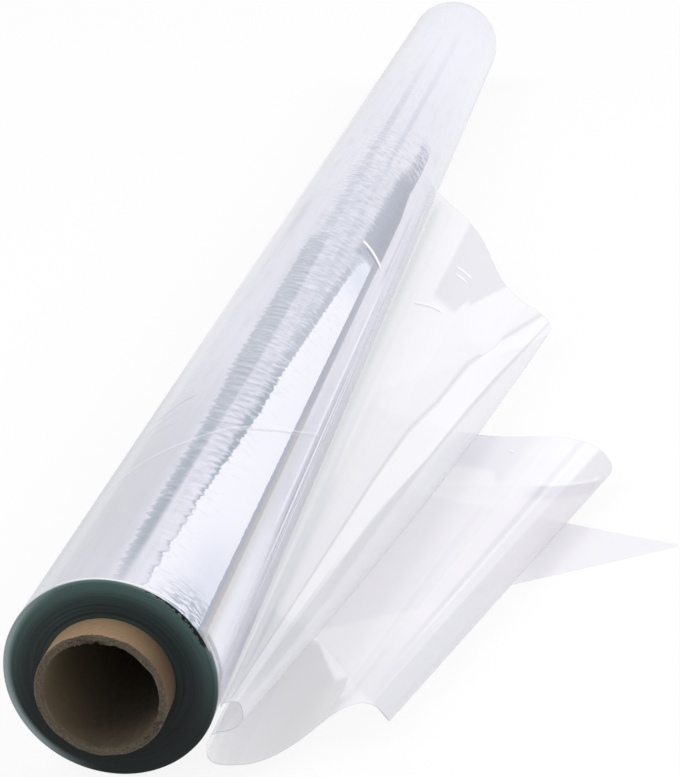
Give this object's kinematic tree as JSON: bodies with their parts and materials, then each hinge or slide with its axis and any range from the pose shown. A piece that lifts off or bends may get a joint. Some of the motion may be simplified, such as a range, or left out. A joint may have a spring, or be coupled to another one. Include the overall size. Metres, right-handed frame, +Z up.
{
  "type": "pvc sheeting roll",
  "caption": "Roll of clear vinyl sheeting wound on a paperboard core, lying on its side with the loose end folded back and forth beside it.",
  "frame": {"origin": "middle of the flat spot that the roll lies on, on the floor under the middle of the core's axis", "axes": "+Y along the core towards the end that the picture shows small and far, +Z up from the floor, +X towards the side where the loose end lies"},
  "size_m": [0.29, 1.4, 0.0955],
  "materials": {
    "core_board": "spiral wound kraft paperboard, matt, with roughly sawn ends",
    "clear_film": "clear glossy vinyl film, silvery where it is wound and deep green at the wound ends"
  },
  "bodies": {
    "root": {"core_tube": "core_board", "film": "clear_film"}
  },
  "joints": []
}
